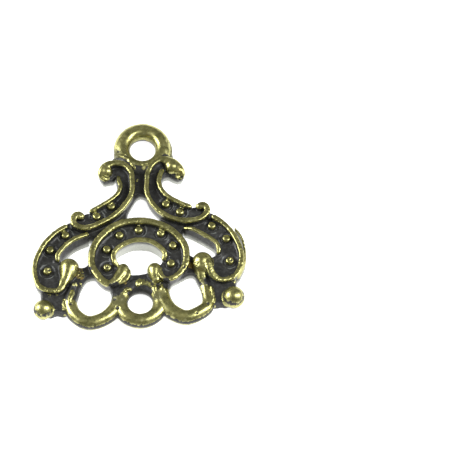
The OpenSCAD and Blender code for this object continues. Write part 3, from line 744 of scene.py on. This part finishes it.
def ballness(points):
    # 1 on the corner balls, the round heads and the tops of the beads
    value = np.zeros(len(points))
    for x, y, mid, radius in cornerBalls:
        away = np.linalg.norm(points - (x, y, mid), axis=1) / radius
        lift = (points[:, 2] - mid) / radius
        # A band of painted shade across each corner ball, a little above its middle
        bare = fade(lift, -0.98, -0.8) * (1 - wearAndShade["ballShadeStrength"] * strip(lift, *wearAndShade["ballShadeBand"]))
        value = np.maximum(value, (1 - fade(away, 1.05, 1.2)) * bare)
    for x, y, mid, radius in headBalls():
        away = np.linalg.norm(points - (x, y, mid), axis=1) / radius
        lift = (points[:, 2] - mid) / radius
        value = np.maximum(value, (1 - fade(away, 1.04, 1.12)) * fade(lift, -0.30, 0.05))
    for x, y, floor in beads["places"]:
        away = np.hypot(points[:, 0] - x, points[:, 1] - y) / beads["radius"]
        lift = points[:, 2] - floor
        bead = (1 - fade(away, 0.97, 1.04)) * fade(lift, -0.08, 0.02)
        bead *= 1 - fade(lift / beads["rise"], 1.15, 1.35)
        value = np.maximum(value, bead)
    return value


def spots(points, table):
    # 1 inside the round spots of a table
    value = np.zeros(len(points))
    for x, y, radius in table:
        away = np.hypot(points[:, 0] - x, points[:, 1] - y) / radius
        value = np.maximum(value, 1 - fade(away, 0.45, 1.15))
    return value


def flakes(points, table, seed):
    # The same spots broken up into ragged flakes
    broken = spots(points, table) * (0.55 + 1.1 * bumps(points, marks["fleckSize"], seed))
    return fade(broken, 0.30, 0.50)


def brassShade(points):
    # 1 where the brass is painted darker as shade: low on the ring's flanks, and in a few spots between
    # parts
    lift, away = wireLift(points)
    low = (1 - fade(lift, 0.25, 0.60)) * (1 - fade(away, 1.2, 1.4))
    flanks = fade(points[:, 1], *wearAndShade["ringFrom"]) * (1 - fade(points[:, 1], 9.4, 10.8))
    return np.maximum(low * flanks, spots(points, marks["shaded"]))


def glints(points):
    # Painted glints: thin broken silvery arcs round the beads, along the outer edges of the moats
    value = np.zeros(len(points))
    for x, y, floor in beads["places"]:
        away = np.hypot(points[:, 0] - x, points[:, 1] - y)
        arc = strip(away, beads["moatOuter"], beads["glintWidth"])
        onFloor = fade(points[:, 2], floor - 0.3, floor - 0.2)
        arc *= onFloor * (1 - fade(points[:, 2], floor + 0.1, floor + 0.25))
        value = np.maximum(value, arc)
    return value * fade(bumps(points, beads["glintLength"], 11), 0.0, 0.25)


def carve(mesh):
    # Moats round the beads, pits, ragged rims, raised flecks and the unevenness of a cast surface
    points, normals = readVectors(mesh, "co"), readVectors(mesh, "normal")
    back = points[:, 2] < 0.12
    inner, outer = beads["moatInner"], beads["moatOuter"]
    for x, y, floor in beads["places"]:
        away = np.hypot(points[:, 0] - x, points[:, 1] - y)
        dip = fade(away, inner - 0.04, inner + 0.04) * (1 - fade(away, outer - 0.10, outer))
        dip *= 1 - fade(points[:, 2] - floor, 0.08, 0.22)
        dip *= fade(points[:, 2], floor - 0.4, floor - 0.2)
        points[:, 2] -= beads["moatDepth"] * dip
    points[:, 2] -= marks["pitDepth"] * spots(points, marks["pits"]) * fade(normals[:, 2], 0.2, 0.6)
    pitch = casting["wavinessPitch"]
    rough = casting["waviness"] * (bumps(points, pitch, 1) + 0.5 * bumps(points, pitch / 2.5, 2))
    ridge, half = ridgeness(points)
    edge = ridge * casting["nibble"] * np.minimum(bumps(points, casting["nibblePitch"], 3) * 1.6, 0.2)
    edge *= 1 - fade(half, 0.40, 0.55)    # the wide heads stay smooth
    rough += marks["fleckHeight"] * flakes(points, marks["flecks"], 5) * fade(normals[:, 2], 0.1, 0.5)
    points += normals * (rough + edge)[:, None] * ~back[:, None]
    points[:, 2] = np.where(back & (normals[:, 2] < -0.5), 0.0, np.maximum(points[:, 2], 0.0))
    writePoints(mesh, points)


def paintWearAndLight(mesh):
    # Values on the mesh: rubbed brass, painted shade, painted floor reflection on walls, amber crevices
    # and painted glints
    points, normals = readVectors(mesh, "co"), readVectors(mesh, "normal")
    up = fade(normals[:, 2], 0.1, 0.5)
    brass = np.maximum.reduce([ridgeness(points)[0], wireness(points), ballness(points)])
    flecks = wearAndShade["fleckBareness"] * flakes(points, marks["flecks"], 5) * up
    brass = np.maximum(brass, flecks * fade(points[:, 2], 0.5, 0.8))
    brass *= 1 - 0.9 * spots(points, marks["pits"] + marks["dark"])
    back = wearAndShade["backBareness"] * fade(-normals[:, 2], 0.8, 0.95) * (points[:, 2] < 0.1)
    brass = np.maximum(brass, back)
    # Painted reflection of the white floor: steep walls turn pale silver metal low down, and higher up
    # inside the middle window
    steep = fade(1 - np.abs(normals[:, 2]), 0.45, 0.85)
    inMiddle = 1 - fade(np.hypot((points[:, 0] - 0.3) / 2.9, (points[:, 1] + 4.2) / 2.3), 0.95, 1.0)
    wallFloorReflection = steep * (1 - fade(points[:, 2], 1.10 * inMiddle, 1.20 + 1.20 * inMiddle))
    # The corners and the ring's end get no painted floor reflection: they stay dark down to the floor
    wallFloorReflection *= 1 - fade(np.abs(points[:, 0]), 7.2, 7.8) * (points[:, 1] < -8)
    wallFloorReflection *= 1 - fade(points[:, 1], 6.8, 7.2)
    amber = flakes(points, marks["amber"], 8)
    layers = {"rubbedOutsideShade": brass, "wallFloorReflection": wallFloorReflection, "amber": amber, "brassShade": brassShade(points),
              "glints": glints(points)}
    for name, values in layers.items():
        layer = mesh.attributes.new(name, "FLOAT", "POINT")
        layer.data.foreach_set("value", values.astype(np.float32))


def toMetres(mesh):
    size = (cadHigh.x - cadLow.x) / casting["drawnWidth"]
    mesh.transform(Matrix.Scale(size, 4))


castingBody = bpy.data.objects.new("casting_body", castingSolids())
bpy.context.scene.collection.objects.link(castingBody)
print("solids made")
fuse(castingBody)
carve(castingBody.data)
thin(castingBody)
paintWearAndLight(castingBody.data)
toMetres(castingBody.data)
for face in castingBody.data.polygons:
    face.use_smooth = True
print("casting shaped")

antiqueBrass = {
    "brass": (0.52, 0.495, 0.19),
    "paleBrass": (0.70, 0.68, 0.34),
    "oliveBrass": (0.29, 0.285, 0.11),
    # Brass in painted shade
    "brassInShade": (0.15, 0.145, 0.060),
    "patina": (0.031, 0.031, 0.029),
    "patinaShine": 0.28,
    "bloom": (0.060, 0.062, 0.060),
    # Grey of the painted glints
    "glint": (0.20, 0.215, 0.205),
    "amberBrown": (0.34, 0.245, 0.055),
    # Pale silver metal for the painted floor reflection on the low walls
    "wallReflectionMetal": (0.42, 0.43, 0.39),
    "brassRoughness": (0.24, 0.40),
    "patinaRoughness": (0.20, 0.42),
    "grain": 0.00012,      # sizes in metres
    "blotch": 0.0009,
    "patchyEdge": 0.26,    # how ragged the edge of the bare brass is, in patches and in grains
    "grainyEdge": 0.18,
    "streakiness": 0.18,
    "bumpStrength": 0.22,
    "bumpHeight": 0.00003,
}


def noiseAt(tree, coords, size, detail=3.0, stretch=(1, 1, 1)):
    # A noise whose bumps are about size metres apart
    place = tree.nodes.new("ShaderNodeMapping")
    place.inputs["Scale"].default_value = stretch
    tree.links.new(coords, place.inputs["Vector"])
    node = tree.nodes.new("ShaderNodeTexNoise")
    node.inputs["Scale"].default_value = 1 / size
    node.inputs["Detail"].default_value = detail
    node.inputs["Roughness"].default_value = 0.6
    tree.links.new(place.outputs["Vector"], node.inputs["Vector"])
    return node.outputs["Fac"]


def painted(tree, name):
    node = tree.nodes.new("ShaderNodeAttribute")
    node.attribute_name = name
    return node.outputs["Fac"]


def mapped(tree, value, low, high, toLow, toHigh, smooth=False):
    node = tree.nodes.new("ShaderNodeMapRange")
    node.interpolation_type = "SMOOTHSTEP" if smooth else "LINEAR"
    node.inputs["From Min"].default_value = low
    node.inputs["From Max"].default_value = high
    node.inputs["To Min"].default_value = toLow
    node.inputs["To Max"].default_value = toHigh
    tree.links.new(value, node.inputs["Value"])
    return node.outputs["Result"]


def swung(tree, value, amount):
    # A noise centred on 0, and mostly within the amount
    return mapped(tree, value, 0.3, 0.7, -amount, amount)


def combined(tree, how, a, b):
    node = tree.nodes.new("ShaderNodeMath")
    node.operation = how
    for socket, value in zip(node.inputs, (a, b)):
        if isinstance(value, (int, float)):
            socket.default_value = value
        else:
            tree.links.new(value, socket)
    return node.outputs["Value"]


def mixed(tree, share, a, b):
    node = tree.nodes.new("ShaderNodeMix")
    node.data_type = "RGBA"
    tree.links.new(share, node.inputs["Factor"])
    for socket, colour in zip((node.inputs[6], node.inputs[7]), (a, b)):
        if isinstance(colour, tuple):
            socket.default_value = (*colour, 1)
        else:
            tree.links.new(colour, socket)
    return node.outputs[2]


def antiqueBrassMaterial():
    finish = antiqueBrass
    material = bpy.data.materials.new("antique_brass_finish")
    material.use_nodes = True
    tree = material.node_tree
    shader = tree.nodes["Principled BSDF"]
    coords = tree.nodes.new("ShaderNodeTexCoord").outputs["Object"]
    grain = noiseAt(tree, coords, finish["grain"])
    blotch = noiseAt(tree, coords, finish["blotch"])
    patches = noiseAt(tree, coords, finish["blotch"] * 0.4)
    streaks = noiseAt(tree, coords, finish["blotch"] * 0.25, stretch=(0.2, 0.2, 1.0))
    # The edge of the bare brass is ragged
    patchy = swung(tree, patches, finish["patchyEdge"])
    ragged = combined(tree, "ADD", patchy, swung(tree, grain, finish["grainyEdge"]))
    bare = combined(tree, "ADD", painted(tree, "rubbedOutsideShade"), ragged)
    bare = mapped(tree, bare, 0.42, 0.62, 0.0, 1.0, smooth=True)
    # Painted floor reflection on the low walls, streaked up and down
    streaked = combined(tree, "ADD", painted(tree, "wallFloorReflection"), swung(tree, streaks, finish["streakiness"]))
    wall = mapped(tree, streaked, 0.08, 1.0, 0.0, 1.0, smooth=True)
    brown = combined(tree, "ADD", painted(tree, "amber"), mapped(tree, grain, 0.3, 0.7, -0.4, 0.2))
    brown = mapped(tree, brown, 0.45, 0.9, 0.0, 0.8, smooth=True)
    tone = mixed(tree, mapped(tree, blotch, 0.35, 0.65, 0.0, 1.0), finish["oliveBrass"], finish["brass"])
    tone = mixed(tree, mapped(tree, patches, 0.55, 0.75, 0.0, 0.6), tone, finish["paleBrass"])
    tone = mixed(tree, combined(tree, "MULTIPLY", brown, 0.5), tone, finish["amberBrown"])
    # Painted shade: the brass is darker and less metallic where the shade layer is painted
    shaded = combined(tree, "ADD", painted(tree, "brassShade"), ragged)
    shaded = mapped(tree, shaded, 0.25, 0.75, 0.0, 1.0, smooth=True)
    tone = mixed(tree, shaded, tone, finish["brassInShade"])
    dark = mixed(tree, mapped(tree, patches, 0.45, 0.7, 0.0, 1.0), finish["patina"], finish["bloom"])
    # Painted glints round the beads
    dark = mixed(tree, mapped(tree, painted(tree, "glints"), 0.2, 0.9, 0.0, 0.8), dark, finish["glint"])
    dark = mixed(tree, wall, dark, finish["wallReflectionMetal"])
    dark = mixed(tree, brown, dark, finish["amberBrown"])
    tree.links.new(mixed(tree, bare, dark, tone), shader.inputs["Base Color"])
    metal = combined(tree, "MULTIPLY", bare, mapped(tree, shaded, 0.0, 1.0, 1.0, 0.25))
    metal = combined(tree, "MAXIMUM", metal, combined(tree, "MULTIPLY", wall, 0.9))
    tree.links.new(metal, shader.inputs["Metallic"])
    shader.inputs["Specular IOR Level"].default_value = finish["patinaShine"]
    metalRough = mapped(tree, patches, 0.3, 0.7, *finish["brassRoughness"])
    darkRough = mapped(tree, blotch, 0.3, 0.7, *finish["patinaRoughness"])
    rough = tree.nodes.new("ShaderNodeMix")
    tree.links.new(metal, rough.inputs["Factor"])
    tree.links.new(darkRough, rough.inputs["A"])
    tree.links.new(metalRough, rough.inputs["B"])
    tree.links.new(rough.outputs["Result"], shader.inputs["Roughness"])
    bump = tree.nodes.new("ShaderNodeBump")
    bump.inputs["Strength"].default_value = finish["bumpStrength"]
    bump.inputs["Distance"].default_value = finish["bumpHeight"]
    tree.links.new(combined(tree, "ADD", patches, grain), bump.inputs["Height"])
    tree.links.new(bump.outputs["Normal"], shader.inputs["Normal"])
    return material


castingBody.data.materials.clear()
castingBody.data.materials.append(antiqueBrassMaterial())
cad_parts["casting"].data.materials.clear()
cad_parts["casting"].data.materials.append(castingBody.data.materials[0])
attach(castingBody, "root")
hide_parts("casting")
print("finish made")

studio = {
    "turn": 3.0,             # degrees that the piece is turned from the camera's upright
    "elevation": 60.0,
    "lens": 1200.0,          # longer ones put the other views' camera past its clipping
    "sensor": 36.0,
    "viewWidth": 0.04725,    # width of the picture at the piece
    "aim": (0.00947, 0.00013, 0.0),
    "room": 0.26,            # brightness of the room above
    "floorColour": (0.90, 0.90, 0.89),
    "floorGlow": 0.90,
    "floorSize": 3.0,
    # softboxes: direction from the piece, distance, width, height, roll in degrees, brightness
    "softboxes": {
        "left": ((-0.82, 0.20, 0.53), 0.35, 0.22, 0.22, 0, 9.0),
        "right": ((0.67, -0.12, 0.73), 0.35, 0.13, 0.30, 20, 9.0),
    },
}


def makeCamera():
    turn, tilt = math.radians(studio["turn"]), math.radians(studio["elevation"])
    look = Vector((math.sin(turn) * math.cos(tilt), math.cos(turn) * math.cos(tilt), -math.sin(tilt)))
    right = Vector((math.cos(turn), -math.sin(turn), 0))
    up = right.cross(look)
    camera = bpy.data.objects.new("camera", bpy.data.cameras.new("camera"))
    camera.data.lens = studio["lens"]
    camera.data.sensor_width = studio["sensor"]
    distance = studio["viewWidth"] * studio["lens"] / studio["sensor"]
    place = Vector(studio["aim"]) - look * distance
    camera.matrix_world = Matrix.Translation(place) @ Matrix((right, up, -look)).transposed().to_4x4()
    camera.data.clip_start = 0.01
    camera.data.clip_end = 20
    bpy.context.scene.collection.objects.link(camera)
    bpy.context.scene.camera = camera


def makeSoftbox(name, direction, distance, width, height, roll, brightness):
    light = bpy.data.lights.new(name, "AREA")
    light.shape = "RECTANGLE"
    light.size, light.size_y = width, height
    light.energy = brightness * math.pi * width * height
    softbox = bpy.data.objects.new(name, light)
    softbox.visible_camera = False
    away = Vector(direction).normalized()
    facing = away.to_track_quat("Z", "Y").to_matrix().to_4x4()
    rolled = Matrix.Rotation(math.radians(roll), 4, "Z")
    softbox.matrix_world = Matrix.Translation(away * distance) @ facing @ rolled
    bpy.context.scene.collection.objects.link(softbox)


def makeRoom():
    world = bpy.data.worlds.new("room")
    world.use_nodes = True
    world.node_tree.nodes["Background"].inputs["Color"].default_value = (1, 1, 1, 1)
    world.node_tree.nodes["Background"].inputs["Strength"].default_value = studio["room"]
    bpy.context.scene.world = world


def makeFloor():
    bm = bmesh.new()
    bmesh.ops.create_grid(bm, x_segments=1, y_segments=1, size=studio["floorSize"] / 2)
    mesh = bpy.data.meshes.new("floor")
    bm.to_mesh(mesh)
    bm.free()
    floor = bpy.data.objects.new("floor", mesh)
    paper = bpy.data.materials.new("white_paper")
    paper.use_nodes = True
    shader = paper.node_tree.nodes["Principled BSDF"]
    shader.inputs["Base Color"].default_value = (*studio["floorColour"], 1)
    shader.inputs["Roughness"].default_value = 0.8
    shader.inputs["Emission Color"].default_value = (1, 1, 1, 1)
    shader.inputs["Emission Strength"].default_value = studio["floorGlow"]
    mesh.materials.append(paper)
    bpy.context.scene.collection.objects.link(floor)


makeCamera()
for name, values in studio["softboxes"].items():
    makeSoftbox(name, *values)
makeRoom()
makeFloor()
bpy.context.scene.view_settings.view_transform = "Standard"
print("studio made")
